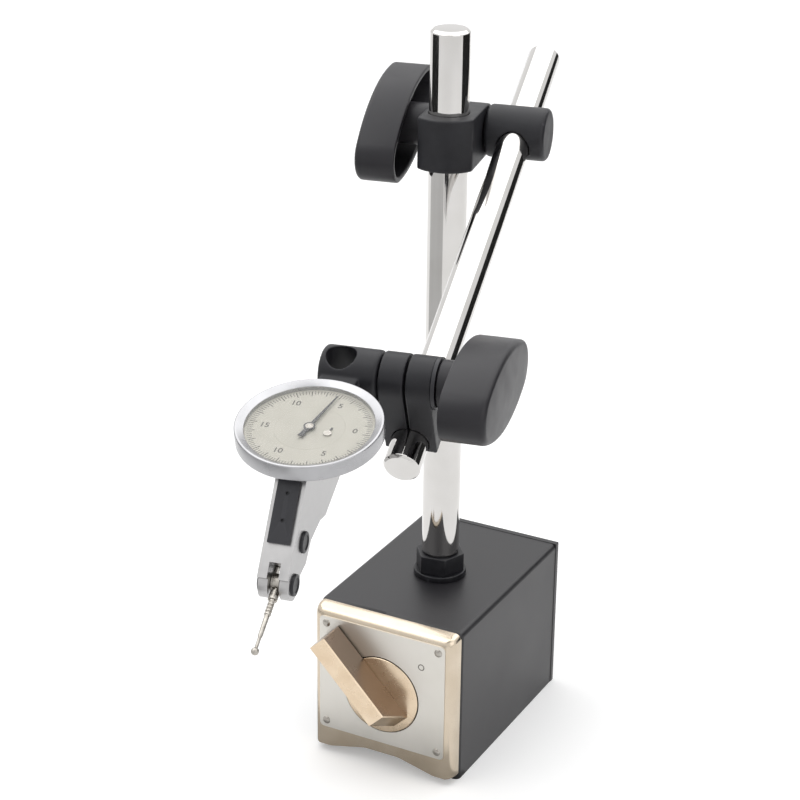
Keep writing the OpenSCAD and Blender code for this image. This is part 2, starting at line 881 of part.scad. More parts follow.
module dovetail_strip() {
    color(BLACK) at_indicator() difference() {
        translate([0, body_front, strip_low]) linear_extrude(strip_top - strip_low) polygon([
            [-strip_w / 2, -strip_t], [strip_w / 2, -strip_t],
            [strip_w / 2 - strip_lean, 0], [-strip_w / 2 + strip_lean, 0]
        ]);
        strip_screw_places(body_front - strip_t - 1) cylinder(d = strip_screw_d, h = strip_t + 2);
    }
}

module strip_screws() {
    color(BLACK) at_indicator() strip_screw_places(body_front - strip_t)
        cylinder(d = strip_screw_d, h = strip_t + strip_screw_l);
}

// Round headed screw along +z, its head seated at the given height
module headed_screw(start, seat) {
    translate([0, 0, start]) cylinder(d = pivot_d, h = seat - start + eps);
    translate([0, 0, seat]) cylinder(d = head_d, h = screw_head_t);
}

module side_screw() {
    color(BLACK) at_indicator() translate([0, side_screw_y, side_screw_z]) along_x()
        headed_screw(pocket_half, body_t / 2);
}

module pivot_screws() {
    color(BLACK) at_pivot() for (side = [0, 180]) rotate([0, 0, side]) along_x()
        headed_screw(face_gap / 2, body_t / 2);
}

// Stylus, swinging about the fork pivot

module at_pivot() {
    at_indicator() translate([0, pivot_y, pivot_z]) children();
}

module along_stylus() {
    at_pivot() rotate([-stylus_angle, 0, 0]) mirror([0, 0, 1]) children();
}

module stylus_holder() {
    color(STEEL) difference() {
        union() {
            at_pivot() along_x() cylinder(r = holder_r, h = holder_t, center = true);
            along_stylus() cylinder(d = holder_t - 2 * run_fit, h = collar_end);
            along_stylus() translate([0, 0, collar_start]) cylinder(d = collar_d, h = collar_end - collar_start);
        }
        at_pivot() along_x() cylinder(d = pivot_d + 2 * run_fit, h = 2 * holder_t, center = true);
        along_stylus() translate([0, 0, collar_end - stem_seat]) cylinder(d = stem_bore, h = collar_end);
    }
}

module stylus() {
    color(STEEL) along_stylus() {
        translate([0, 0, stylus_l]) sphere(d = ball_d);
        translate([0, 0, collar_end]) cylinder(d1 = stylus_d, d2 = stylus_tip_d, h = stylus_l - collar_end);
        translate([0, 0, collar_end - stem_seat]) cylinder(d = stem_bore, h = stem_seat + eps);
    }
}

module sector_lever() {
    color(STEEL) at_pivot() translate([sector_x + sector_t / 2, 0, 0]) rotate([-sector_dir, 0, 0])
        slab(sector_t) difference() {
            union() {
                circle(d = pivot_d + 2 * sector_t + sector_w);
                translate([-sector_w / 2, 0]) square([sector_w, sector_tip - sector_w]);
                intersection() {
                    circle(r = sector_tip, $fn = 180);
                    translate([-sector_w, sector_tip - 2 * sector_w]) square([2 * sector_w, 4 * sector_w]);
                }
            }
            circle(d = pivot_d + 2 * run_fit);
        }
}

// Gear train and pointer

module crown_wheel() {
    color(BRASS) at_indicator() translate([0, crown_y, crown_z]) along_x() {
        cylinder(d = arbor_d, h = body_t - body_wall, center = true);
        translate([0, 0, pinion_r + train_gap]) cylinder(r = crown_r, h = crown_t);
        translate([0, 0, sector_x]) cylinder(r = pinion_r, h = sector_t);
    }
}

module pointer_arbor() {
    color(STEEL) at_dial() translate([0, 0, -arbor_w]) {
        cylinder(d = arbor_d, h = arbor_w + arbor_top);
        cylinder(r = pinion_r, h = pinion_l);
    }
}

module pointer() {
    length = dial_d / 2 - pointer_in;
    color(INK) at_dial() rotate([0, 0, -pointer_turn]) translate([0, 0, pointer_z]) difference() {
        union() {
            linear_extrude(pointer_t) polygon([
                [-pointer_tail_w / 2, -pointer_tail], [pointer_tail_w / 2, -pointer_tail],
                [pointer_mid_w / 2, 0], [pointer_tip_w / 2, length],
                [-pointer_tip_w / 2, length], [-pointer_mid_w / 2, 0]
            ]);
            cylinder(r = pointer_hub_r, h = pointer_t);
        }
        translate([0, 0, -1]) cylinder(d = arbor_d, h = pointer_t + 2);
    }
}

module counter_hand() {
    color(INK) at_dial() translate([counter_x, counter_y, 0]) rotate([0, 0, -counter_turn]) {
        translate([0, 0, -counter_deep]) cylinder(d = counter_d, h = counter_deep + counter_z + counter_t);
        translate([0, 0, counter_z]) cylinder(r = counter_hub_r, h = counter_t);
        translate([-counter_w / 2, 0, counter_z]) cube([counter_w, counter_l, counter_t]);
    }
}

// Fixed middle of the dial, seated on the housing
module centre_dial() {
    thickness = dial_t + face_gap;
    color(CREAM) at_dial() translate([0, 0, -thickness]) difference() {
        cylinder(d = centre_d, h = thickness);
        translate([0, 0, -1]) cylinder(d = arbor_d + 2 * face_gap, h = thickness + 2);
        translate([counter_x, counter_y, -1]) cylinder(d = counter_d + 2 * run_fit, h = thickness + 2);
    }
}

// Bezel, dial and crystal turn together

module bezel() {
    outer = bezel_d / 2;
    bore = dial_d / 2;
    guide = flange_r + run_fit;
    color(CHROME) at_dial() rotate_extrude() polygon([
        [drum_r + face_gap, -bezel_low], [outer - bezel_chamfer, -bezel_low],
        [outer, bezel_chamfer - bezel_low], [outer, bezel_up - bezel_chamfer],
        [outer - bezel_chamfer, bezel_up], [outer - 2 * bezel_chamfer, bezel_up],
        [bore, crystal_z + crystal_t], [bore, -dial_t], [guide, -dial_t], [guide, -bezel_down - face_gap],
        [drum_r + face_gap, -bezel_down - face_gap]
    ]);
}

module dial_plate() {
    color(CREAM) at_dial() translate([0, 0, -dial_t]) tube(dial_d, centre_d + 2 * centre_gap, dial_t);
}

module crystal() {
    color("#e8f0f2", 0.4) at_dial() translate([0, 0, crystal_z]) cylinder(d = dial_d, h = crystal_t);
}

left_pole();
right_pole();
brass_spacer();
front_cover();
cover_screws();
name_plate();
plate_rivets();
rear_plate();
rear_screws();
front_bush();
rear_bush();
column_washer();
column_nut();
switch_knob();
magnet_rotor();
magnet_shaft();
drive_pin();
column();
upper_clamp_block();
upper_drawbar();
upper_thrust_washer();
upper_knob();
upper_knob_insert();
arm();
left_jaw();
right_jaw();
lower_thrust_washer();
lower_knob();
lower_knob_insert();
lower_drawbar();
dovetail_screw();
indicator_body();
dovetail_strip();
strip_screws();
side_screw();
pivot_screws();
stylus_holder();
stylus();
sector_lever();
crown_wheel();
pointer();
pointer_arbor();
counter_hand();
centre_dial();
bezel();
dial_plate();
crystal();
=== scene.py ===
import json
import math

import bmesh
import bpy
from mathutils import Matrix, Vector

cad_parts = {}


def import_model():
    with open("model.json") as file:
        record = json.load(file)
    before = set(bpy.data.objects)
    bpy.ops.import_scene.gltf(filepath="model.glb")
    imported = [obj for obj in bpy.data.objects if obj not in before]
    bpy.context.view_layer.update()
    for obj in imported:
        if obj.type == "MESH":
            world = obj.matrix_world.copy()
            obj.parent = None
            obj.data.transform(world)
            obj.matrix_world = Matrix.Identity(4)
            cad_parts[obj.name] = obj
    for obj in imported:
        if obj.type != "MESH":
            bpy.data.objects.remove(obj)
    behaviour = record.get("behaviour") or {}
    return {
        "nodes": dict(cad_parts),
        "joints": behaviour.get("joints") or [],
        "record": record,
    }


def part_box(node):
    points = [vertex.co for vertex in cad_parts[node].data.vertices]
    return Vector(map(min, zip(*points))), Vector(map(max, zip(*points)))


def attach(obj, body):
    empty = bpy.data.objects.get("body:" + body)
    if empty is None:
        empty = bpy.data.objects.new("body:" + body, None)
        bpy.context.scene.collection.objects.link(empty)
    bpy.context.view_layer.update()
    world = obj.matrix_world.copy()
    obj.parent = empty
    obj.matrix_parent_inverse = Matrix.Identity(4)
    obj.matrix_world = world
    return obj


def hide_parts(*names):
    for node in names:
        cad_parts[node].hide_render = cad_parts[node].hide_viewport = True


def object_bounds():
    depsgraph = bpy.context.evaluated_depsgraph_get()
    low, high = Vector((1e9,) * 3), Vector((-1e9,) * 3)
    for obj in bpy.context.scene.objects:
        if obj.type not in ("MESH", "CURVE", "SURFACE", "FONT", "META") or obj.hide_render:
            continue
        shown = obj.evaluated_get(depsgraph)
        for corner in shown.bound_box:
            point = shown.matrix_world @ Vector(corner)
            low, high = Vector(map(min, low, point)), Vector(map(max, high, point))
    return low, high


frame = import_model()
CAD_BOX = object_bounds()
NODES = frame["nodes"]
JOINTS = {j["name"]: j for j in frame["joints"]}
MM = 0.001
# Thickness of what is printed or engraved, in millimetres
PRINT_T = 0.02

# Sizes in millimetres that the shapes below share with the solids
COVER_TAPER = 2.5
GROOVE_HALF, GROOVE_FLAT, GROOVE_H = 18.5, 6, 3
BOSS_R, BOSS_UP, BOSS_BEHIND = 13, 0.4, 3.2
BOSS_BORE_R, BOSS_DEEP = 13.3, 3
LEVER_W, LEVER_OUT, LEVER_REACH = 7, 10, 25.5
LEVER_TAIL, LEVER_SLOPE, LEVER_ANGLE = 10.5, 5.5, 46
RIVET_R, RIVET_PIN_R, RIVET_PIN_L = 1.3, 0.65, 2.5
SCREW_R, SCREW_HEAD_T = 2, 2
FOOT_R, COLUMN_R, COLUMN_SHOULDER = 5, 6, 60.8
ARM_R, ARM_L, ARM_DOWN = 5, 174.5, 137.5
KNOB_L, KNOB_W, KNOB_T, KNOB_TIP = 49, 22, 13, 7.5
KNOB_WALL, KNOB_ROOF, HUB_OUT = 1.8, 2.4, 5.2
HUB_R, INSERT_R = 6.5, 5
UPPER_KNOB_X, LOWER_KNOB_X = -8.7, 8.3
UPPER_KNOB_TURN, LOWER_KNOB_TURN = -23, -24
BEZEL_R, DIAL_R, BEZEL_UP, BEZEL_LOW = 18.9, 16.5, 2, 2.5
DRUM_R = 14.3
CRYSTAL_Z = 1
DIAL_T, CENTRE_R, CENTRE_HOLE_R = 0.9, 8.92, 0.9
POINTER_TOP, COUNTER_TOP = 0.75, 0.35
DIAL_TILT = 48.7
STYLUS_ANGLE, STYLUS_L, COLLAR_END = 25, 20, 5.2
BODY_HALF, PIVOT_R = 4, 0.8
HEAD_R, HEAD_T = 2.8, 0.7
SIDE_SCREW_Y, SIDE_SCREW_Z, SIDE_SCREW_START = 1.5, 11, 2.6
PIVOT_SCREW_START = 0.15
STRIP_FACE_Y, STRIP_SCREW_Z = -6.2, (21.3, 14.5)
STRIP_SCREW_R, STRIP_SCREW_L = 0.6, 2.6


# Frames of the moving parts, from the joints

def axes(origin, x, y):
    """A frame in metres with these x and y directions."""
    x = Vector(x).normalized()
    y = Vector(y).normalized()
    m = Matrix((x, y, x.cross(y))).transposed().to_4x4()
    m.translation = Vector(origin)
    return m


def turned(matrix, degrees, axis):
    return matrix @ Matrix.Rotation(math.radians(degrees), 4, axis)


def shifted(matrix, x, y, z):
    """The frame moved along its own axes, in millimetres."""
    return matrix @ Matrix.Translation(Vector((x, y, z)) * MM)


SIDEWAYS = Vector(JOINTS["arm_swivel"]["axis"])
ARM_AXIS = Vector(JOINTS["arm_slide"]["axis"])
UP = Vector((0, 0, 1))
WORLD = Matrix.Identity(4)
AT_SWITCH = axes(JOINTS["switch_turn"]["pos_m"], (1, 0, 0), (0, 0, 1))
AT_COLUMN = axes(JOINTS["column_turn"]["pos_m"], (1, 0, 0), (0, 1, 0))
AT_UPPER = axes(JOINTS["arm_swivel"]["pos_m"], SIDEWAYS, UP.cross(SIDEWAYS))
AT_ARM = axes(JOINTS["lower_clamp_turn"]["pos_m"], SIDEWAYS, ARM_AXIS.cross(SIDEWAYS))
AT_LOWER = axes(JOINTS["indicator_swivel"]["pos_m"], SIDEWAYS, ARM_AXIS)
DIAL_NORMAL = Vector(JOINTS["bezel_turn"]["axis"])
AT_DIAL = axes(JOINTS["bezel_turn"]["pos_m"], SIDEWAYS, DIAL_NORMAL.cross(SIDEWAYS))
AT_PIVOT = turned(AT_DIAL, -DIAL_TILT, "X")
AT_PIVOT.translation = Vector(JOINTS["lever_swing"]["pos_m"])
AT_COUNTER = AT_DIAL.copy()
AT_COUNTER.translation = Vector(JOINTS["counter_turn"]["pos_m"])


# Materials

def linear(red, green, blue):
    """A colour from its 0 to 255 values on screen."""
    def part(v):
        v = v / 255
        return v / 12.92 if v < 0.04045 else ((v + 0.055) / 1.055) ** 2.4
    return (part(red), part(green), part(blue), 1)


def link(tree, source, target):
    tree.links.new(source, target)


def noise(tree, size, detail=3.0, stretch=(1, 1, 1)):
    """A cloudy value whose spots are about this many millimetres across, drawn out by stretch."""
    coords = tree.nodes.new("ShaderNodeTexCoord")
    mapping = tree.nodes.new("ShaderNodeMapping")
    mapping.inputs["Scale"].default_value = [1 / (size * MM * s) for s in stretch]
    texture = tree.nodes.new("ShaderNodeTexNoise")
    texture.inputs["Scale"].default_value = 1
    texture.inputs["Detail"].default_value = detail
    link(tree, coords.outputs["Object"], mapping.inputs["Vector"])
    link(tree, mapping.outputs["Vector"], texture.inputs["Vector"])
    return texture.outputs[0]


def ranged(tree, value, low, high, start=0.3, end=0.7):
    """A value spread from low to high."""
    node = tree.nodes.new("ShaderNodeMapRange")
    node.inputs["From Min"].default_value = start
    node.inputs["From Max"].default_value = end
    node.inputs["To Min"].default_value = low
    node.inputs["To Max"].default_value = high
    link(tree, value, node.inputs["Value"])
    return node.outputs["Result"]


def mixed(tree, factor, first, second):
    """A blend of two colours; each is a colour or a socket."""
    node = tree.nodes.new("ShaderNodeMix")
    node.data_type = "RGBA"
    link(tree, factor, node.inputs["Factor"])
    for socket, value in zip((node.inputs[6], node.inputs[7]), (first, second)):
        if isinstance(value, tuple):
            socket.default_value = value
        else:
            link(tree, value, socket)
    return node.outputs[2]


def bumped(tree, height, depth):
    """A surface normal from a height value, this many millimetres deep."""
    node = tree.nodes.new("ShaderNodeBump")
    node.inputs["Distance"].default_value = depth * MM
    link(tree, height, node.inputs["Height"])
    return node.outputs["Normal"]


def finish(name, dark, light, rough, metallic=0.0, cloud=6.0, grain=None, edge=None, shaded_sides=None,
           sockets=()):
    """A procedural finish: colour and roughness that change over clouds of this size, from dark to
    light and from rough[0] to rough[1], grain as (size, depth, stretch), a lighter colour on edges
    for wear and a painted sheen, painted shade on the faces that don't look to the front, and more
    (socket, value) pairs."""
    mat = bpy.data.materials.new(name)
    mat.use_nodes = True
    tree = mat.node_tree
    shader = tree.nodes["Principled BSDF"]
    shader.inputs["Metallic"].default_value = metallic
    for socket, value in sockets:
        shader.inputs[socket].default_value = value
    clouds = ranged(tree, noise(tree, cloud), 0, 1)
    colour = mixed(tree, clouds, linear(*dark), linear(*light))
    # Lighter colour on sharp edges, found by pointiness: partly worn paint, partly a painted sheen
    # where rounded edges catch the light
    if edge:
        shape = tree.nodes.new("ShaderNodeNewGeometry")
        wear_and_sheen = ranged(tree, shape.outputs["Pointiness"], 0, 1, start=0.53, end=0.62)
        colour = mixed(tree, wear_and_sheen, colour, linear(*edge))
    # Painted shade: faces that turn away from the front get a darker colour
    if shaded_sides:
        coords = tree.nodes.new("ShaderNodeTexCoord")
        parts = tree.nodes.new("ShaderNodeSeparateXYZ")
        link(tree, coords.outputs["Normal"], parts.inputs["Vector"])
        painted_side_shade = ranged(tree, parts.outputs["Y"], 0, 1, start=-0.4, end=-0.1)
        colour = mixed(tree, painted_side_shade, colour, linear(*shaded_sides))
    link(tree, colour, shader.inputs["Base Color"])
    link(tree, ranged(tree, clouds, *rough, start=0, end=1), shader.inputs["Roughness"])
    if grain:
        size, depth, stretch = grain
        fine = noise(tree, size, detail=2, stretch=stretch)
        link(tree, bumped(tree, fine, depth), shader.inputs["Normal"])
    return mat


EVEN = (1, 1, 1)
DULL = [("Specular IOR Level", 0.32)]
# The edge colours below are partly wear and partly a painted sheen on the rounded edges
FINISHES = {
    "base_paint": finish("base_paint", (31, 30, 33), (37, 36, 39), (0.36, 0.42), cloud=25),
    "clamp_paint": finish("clamp_paint", (30, 30, 34), (38, 38, 42), (0.4, 0.5), cloud=5,
                          grain=(0.5, 0.008, EVEN), edge=(56, 55, 60), sockets=DULL),
    "knob_plastic": finish("knob_plastic", (34, 33, 37), (40, 39, 43), (0.36, 0.44), cloud=8,
                           grain=(0.35, 0.005, EVEN), edge=(60, 58, 62), sockets=DULL),
    "black_oxide": finish("black_oxide", (22, 22, 26), (32, 32, 36), (0.32, 0.42), cloud=3,
                          grain=(0.4, 0.004, EVEN), edge=(58, 58, 62), sockets=DULL),
    "chrome": finish("chrome", (204, 202, 199), (211, 209, 207), (0.04, 0.08), metallic=1.0,
                     cloud=12),
    "nickel": finish("nickel", (200, 186, 166), (212, 199, 181), (0.2, 0.28), metallic=1.0, cloud=9),
    "satin_plate": finish("satin_plate", (211, 208, 201), (220, 217, 211), (0.36, 0.48), metallic=1.0,
                          cloud=14, grain=(0.25, 0.002, (14, 1, 1))),
    "satin_chrome": finish("satin_chrome", (172, 171, 171), (185, 184, 184), (0.28, 0.38), metallic=1.0,
                           cloud=6, grain=(0.3, 0.002, EVEN)),
    "steel": finish("steel", (150, 145, 138), (188, 184, 177), (0.24, 0.36), metallic=1.0, cloud=1.2,
                    grain=(0.3, 0.002, EVEN)),
    "brass": finish("brass", (196, 158, 88), (216, 182, 112), (0.22, 0.34), metallic=1.0, cloud=4,
                    grain=(0.3, 0.002, EVEN)),
    "magnet": finish("magnet", (96, 96, 100), (120, 120, 124), (0.4, 0.55), metallic=1.0, cloud=3,
                     grain=(0.6, 0.01, EVEN)),
    "dial_paint": finish("dial_paint", (195, 191, 178), (203, 199, 187), (0.42, 0.5), cloud=5,
                         grain=(0.2, 0.002, EVEN)),
    "pointer_black": finish("pointer_black", (46, 45, 46), (58, 57, 58), (0.35, 0.45), cloud=1.5),
    "crystal": finish("crystal", (236, 240, 240), (246, 248, 248), (0.02, 0.05), cloud=8,
                      sockets=[("Alpha", 0.06)]),
}
INK = finish("dial_ink", (98, 94, 89), (112, 108, 102), (0.5, 0.6), cloud=0.8)
# The switch's nickel, with painted shade on the faces of the lever and boss that don't look to the
# front
SWITCH_NICKEL_SHADED_SIDES = finish("switch_nickel_shaded_sides", (214, 193, 166), (228, 209, 184), (0.24, 0.32), metallic=1.0,
                       cloud=7, shaded_sides=(142, 126, 113))
# A darker copy of the satin chrome for the bezel: painted shade, for the shaded floor its side mirrors
SHADED_BEZEL_CHROME = finish("bezel_chrome_painted_shade", (164, 164, 166), (176, 176, 178), (0.24, 0.32), metallic=1.0,
                      cloud=6)


# Mesh helpers; shapes are drawn in millimetres in their own frame

def rounded(points, radii, steps=4):
    """A closed outline with each corner rounded off by its own radius."""
    outline = []
    for i, radius in enumerate(radii):
        corner = Vector(points[i])
        before = (Vector(points[i - 1]) - corner).normalized()
        after = (Vector(points[(i + 1) % len(points)]) - corner).normalized()
        half = before.angle(after) / 2
        if radius == 0 or half > 1.56:
            outline.append(tuple(corner))
            continue
        centre = corner + (before + after).normalized() * radius / math.sin(half)
        start = corner + before * radius / math.tan(half) - centre
        end = corner + after * radius / math.tan(half) - centre
        for k in range(steps + 1):
            spoke = (start.lerp(end, k / steps)).normalized() * radius
            outline.append(tuple(centre + spoke))
    return outline


def skin(bm, ring, other):
    """Faces between two rings of vertices; a ring of one vertex is a pole."""
    count = max(len(ring), len(other))
    for i in range(count):
        j = (i + 1) % count
        corners = [ring[i % len(ring)], ring[j % len(ring)],
                   other[j % len(other)], other[i % len(other)]]
        bm.faces.new(list(dict.fromkeys(corners)))


def lofted(rings, closed=False, capped=True):
    """A bmesh skinned over rings of points; closed joins the last ring to the first."""
    bm = bmesh.new()
    made = [[bm.verts.new(p) for p in ring] for ring in rings]
    for ring, other in zip(made, made[1:]):
        skin(bm, ring, other)
    if closed:
        skin(bm, made[-1], made[0])
    for ring in (made[0], made[-1]):
        if capped and not closed and len(ring) > 2:
            bm.faces.new(ring)
    bmesh.ops.recalc_face_normals(bm, faces=bm.faces)
    return bm


def circle(radius, z, steps):
    if radius == 0:
        return [(0, 0, z)]
    angles = [2 * math.pi * i / steps for i in range(steps)]
    return [(radius * math.cos(a), radius * math.sin(a), z) for a in angles]


def hexagon(radius, z, steps):
    """A hexagon with points spread along its sides, radius to the middle of a side."""
    third = math.pi / 3
    ring = []
    for i in range(steps):
        a = 2 * math.pi * i / steps
        reach = radius / math.cos(a % third - third / 2)
        ring.append((reach * math.cos(a), reach * math.sin(a), z))
    return ring


def lathe(profile, steps=96, closed=False):
    """A bmesh turned about z from (radius, height) points; closed makes a ring of the profile."""
    return lofted([circle(r, z, steps) for r, z in profile], closed)


def dome(radius, low, height, steps=8):
    """Half section of a shallow dome from its rim at low up to the axis."""
    turns = [math.pi / 2 * i / steps for i in range(steps + 1)]
    points = [(radius * math.cos(a), low + height * math.sin(a)) for a in turns[:-1]]
    return points + [(0, low + height)]


def prism(outline, low, high):
    """A bmesh with this outline from low to high along z."""
    return lofted([[(x, y, low) for x, y in outline], [(x, y, high) for x, y in outline]])


def merged(*parts):
    """One bmesh with all the parts as separate shells."""
    whole = bmesh.new()
    for part in parts:
        mesh = bpy.data.meshes.new("part")
        part.to_mesh(mesh)
        part.free()
        whole.from_mesh(mesh)
        bpy.data.meshes.remove(mesh)
    return whole


def moved(bm, matrix):
    bmesh.ops.transform(bm, matrix=matrix, verts=bm.verts)
    return bm


def piece(name, mesh, body, slot, stands_for=(), smooth=35, material=None):
    """A finished piece from a mesh in metres, smooth apart from edges sharper than the angle."""
    obj = bpy.data.objects.new(name, mesh)
    bpy.context.scene.collection.objects.link(obj)
    mesh.polygons.foreach_set("use_smooth", [True] * len(mesh.polygons))
    mesh.set_sharp_from_angle(angle=math.radians(smooth))
    mesh.materials.clear()
    mesh.materials.append(material or FINISHES[slot])
    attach(obj, body)
    if stands_for:
        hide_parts(*stands_for)
    return obj


def drawn(name, bm, matrix, body, slot, stands_for=(), smooth=35, material=None):
    """A piece from a bmesh in millimetres, set into a frame."""
    moved(bm, matrix @ Matrix.Scale(MM, 4))
    bmesh.ops.recalc_face_normals(bm, faces=bm.faces)
    mesh = bpy.data.meshes.new(name)
    bm.to_mesh(mesh)
    bm.free()
    return piece(name, mesh, body, slot, stands_for, smooth, material)


def node_bmesh(*names):
    """The solids of CAD nodes, in metres, with their seams welded."""
    bm = bmesh.new()
    for name in names:
        bm.from_mesh(NODES[name].data)
    bmesh.ops.remove_doubles(bm, verts=bm.verts, dist=1e-7)
    return bm


def plain_bmesh(node):
    """The solid of one CAD node with each flat face in one piece."""
    bm = node_bmesh(node)
    bmesh.ops.dissolve_limit(bm, angle_limit=math.radians(0.5), verts=bm.verts, edges=bm.edges)
    return bm


def modified(bm, *settings):
    """A mesh from a bmesh in metres after modifiers, each (type, its settings)."""
    mesh = bpy.data.meshes.new("work")
    bm.to_mesh(mesh)
    bm.free()
    obj = bpy.data.objects.new("work", mesh)
    bpy.context.scene.collection.objects.link(obj)
    for kind, values in settings:
        modifier = obj.modifiers.new(kind, kind)
        for key, value in values.items():
            setattr(modifier, key, value)
    graph = bpy.context.evaluated_depsgraph_get()
    result = bpy.data.meshes.new_from_object(obj.evaluated_get(graph))
    bpy.data.objects.remove(obj)
    bpy.data.meshes.remove(mesh)
    return result


def cast(name, body, slot, nodes, voxel=0.35, passes=10):
    """A casting: the nodes' solids melted into one skin with rounded edges and corners."""
    mesh = modified(
        node_bmesh(*nodes),
        ("REMESH", {"mode": "VOXEL", "voxel_size": voxel * MM}),
        ("SMOOTH", {"factor": 0.5, "iterations": passes}),
    )
    return piece(name, mesh, body, slot, nodes, smooth=180)


def flatten(obj, area):
    """Flat shading on faces larger than this many square millimetres, so that the rounded edges
    don't bend them."""
    for face in obj.data.polygons:
        face.use_smooth = face.area < area * MM * MM


def eased(name, body, slot, node, width):
    """A machined piece: the node's solid with its sharp edges broken by a small round."""
    round_edges = {"width": width * MM, "segments": 3, "limit_method": "ANGLE",
                   "angle_limit": math.radians(35), "use_clamp_overlap": True}
    mesh = modified(plain_bmesh(node), ("BEVEL", round_edges))
    flatten(piece(name, mesh, body, slot, [node]), area=15)


# Base

def pole_edges():
    """The two poles and the strip between them, with only their outer edges rounded."""
    low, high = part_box("left_pole")[0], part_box("right_pole")[1]
    width, close = 1.6, 0.01
    round_edges = {"width": width * MM, "segments": 4, "limit_method": "WEIGHT",
                   "use_clamp_overlap": True}

    def outer(edge):
        middle = (edge.verts[0].co + edge.verts[1].co) / 2
        away = (middle.x - low.x, middle.x - high.x, middle.z - high.z, middle.y - low.y)
        return sum(abs(distance) < close * MM for distance in away) > 1

    for node in ("left_pole", "right_pole", "brass_spacer"):
        bm = plain_bmesh(node)
        weights = bm.edges.layers.float.new("bevel_weight_edge")
        for edge in bm.edges:
            edge[weights] = 1.0 if outer(edge) else 0.0
        mesh = modified(bm, ("BEVEL", round_edges))
        flatten(piece(node + "_body", mesh, "base", "base_paint", [node]), area=60)


def front_cover():
    """The nickel cover: rounded over towards its front, with the pocket of the switch and the groove
    below."""
    low, high = (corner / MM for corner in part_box("front_cover"))
    depth = high.y - low.y
    axis_z = AT_SWITCH.translation.z / MM
    steps, turned_over, close = 8, 0.98, 1e-4
    foot, shoulder, groove_side, groove_top = 0.4, 2.2, 6, 8
    radii = [foot, shoulder, shoulder, foot, groove_side, groove_top, groove_top, groove_side]
    rings = []
    for i in range(steps + 1):
        share = i / steps
        taper = COVER_TAPER * (1 - math.sqrt(1 - (turned_over * share) ** 2))
        side, top, crest = high.x - taper, high.z - taper, low.z + GROOVE_H
        corners = [(side, low.z), (side, top), (-side, top), (-side, low.z), (-GROOVE_HALF, low.z),
                   (-GROOVE_FLAT, crest), (GROOVE_FLAT, crest), (GROOVE_HALF, low.z)]
        outline = rounded(corners, radii, steps=6)
        rings.append([(x, high.y - depth * share, z) for x, z in outline])
    pocket = [[(x, low.y + deep, axis_z + z) for x, z, _ in circle(BOSS_BORE_R, 0, 96)]
              for deep in (0, BOSS_DEEP)]
    bm = merged(lofted(rings, capped=False), lofted(pocket, capped=False))

    def fill(keep):
        """Faces over the open edges whose ends are all kept."""
        rim = [e for e in bm.edges if e.is_boundary and all(keep(v.co.y) for v in e.verts)]
        bmesh.ops.triangle_fill(bm, edges=rim, use_beauty=True, use_dissolve=False)

    fill(lambda y: abs(y - low.y) < close)
    fill(lambda y: abs(y - high.y) < close)
    fill(lambda y: True)
    drawn("front_cover_body", bm, WORLD, "base", "nickel", ["front_cover"], smooth=50)


def plate_rivets():
    """Domed rivet heads on the name plate, with their pins."""
    low, high = (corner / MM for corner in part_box("plate_rivets"))
    plate_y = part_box("name_plate")[0].y / MM
    profile = dome(RIVET_R, 0, plate_y - low.y)
    profile = [(0, -RIVET_PIN_L), (RIVET_PIN_R, -RIVET_PIN_L), (RIVET_PIN_R, 0)] + profile
    rivets = []
    for x in (low.x + RIVET_R, high.x - RIVET_R):
        for z in (low.z + RIVET_R, high.z - RIVET_R):
            place = Matrix.Translation((x, plate_y, z)) @ Matrix.Rotation(math.pi / 2, 4, "X")
            rivets.append(moved(lathe(profile, steps=40), place))
    drawn("plate_rivet_heads", merged(*rivets), WORLD, "base", "steel", ["plate_rivets"])


def socket_screw(head_r, head_t, shank_r, length, socket):
    """A screw along +z from its face at z = 0, with a hexagon socket and a conical head."""
    steps, deep, break_edge = 48, 1.1 * socket, 0.05 * head_r
    rings = [[(0, 0, deep)], hexagon(socket, deep, steps), hexagon(socket, 0, steps)]
    rings += [circle(r, z, steps) for r, z in (
        (head_r - break_edge, 0), (head_r, break_edge), (shank_r, head_t), (shank_r, length))]
    rings.append([(0, 0, length)])
    return lofted(rings)


def rear_screws():
    """Countersunk screws in the rear plate."""
    low, high = (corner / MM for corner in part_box("rear_screws"))
    head_r, socket, length = 2 * SCREW_R, 1.3, high.y - low.y
    screws = []
    for x in (low.x + head_r, high.x - head_r):
        for z in (low.z + head_r, high.z - head_r):
            place = Matrix.Translation((x, high.y, z)) @ Matrix.Rotation(math.pi / 2, 4, "X")
            screws.append(moved(socket_screw(head_r, SCREW_HEAD_T, SCREW_R, length, socket), place))
    drawn("rear_screw_heads", merged(*screws), WORLD, "base", "steel", ["rear_screws"])


def plate_mark():
    """A small engraved ring beside the switch."""
    x, z, radius, width = 14, 40.7, 0.95, 0.3
    inner, outer = radius - width / 2, radius + width / 2
    profile = [(inner, 0), (outer, 0), (outer, PRINT_T), (inner, PRINT_T)]
    plate_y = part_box("name_plate")[0].y / MM
    place = Matrix.Translation(Vector((x, plate_y, z)) * MM) @ Matrix.Rotation(math.pi / 2, 4, "X")
    ring = lathe(profile, steps=48, closed=True)
    drawn("plate_ring", ring, place, "base", "satin_plate", material=INK)


def inset(outline, depth):
    """A convex outline drawn in by this depth; its points run counterclockwise."""
    count = len(outline)
    inner = []
    for i in range(count):
        before, corner, after = (Vector(outline[(i + k) % count]) for k in (-1, 0, 1))
        first = (corner - before).normalized()
        second = (after - corner).normalized()
        inward = first.orthogonal() + second.orthogonal()
        inner.append(tuple(corner + inward * depth / (1 + first.dot(second))))
    return inner


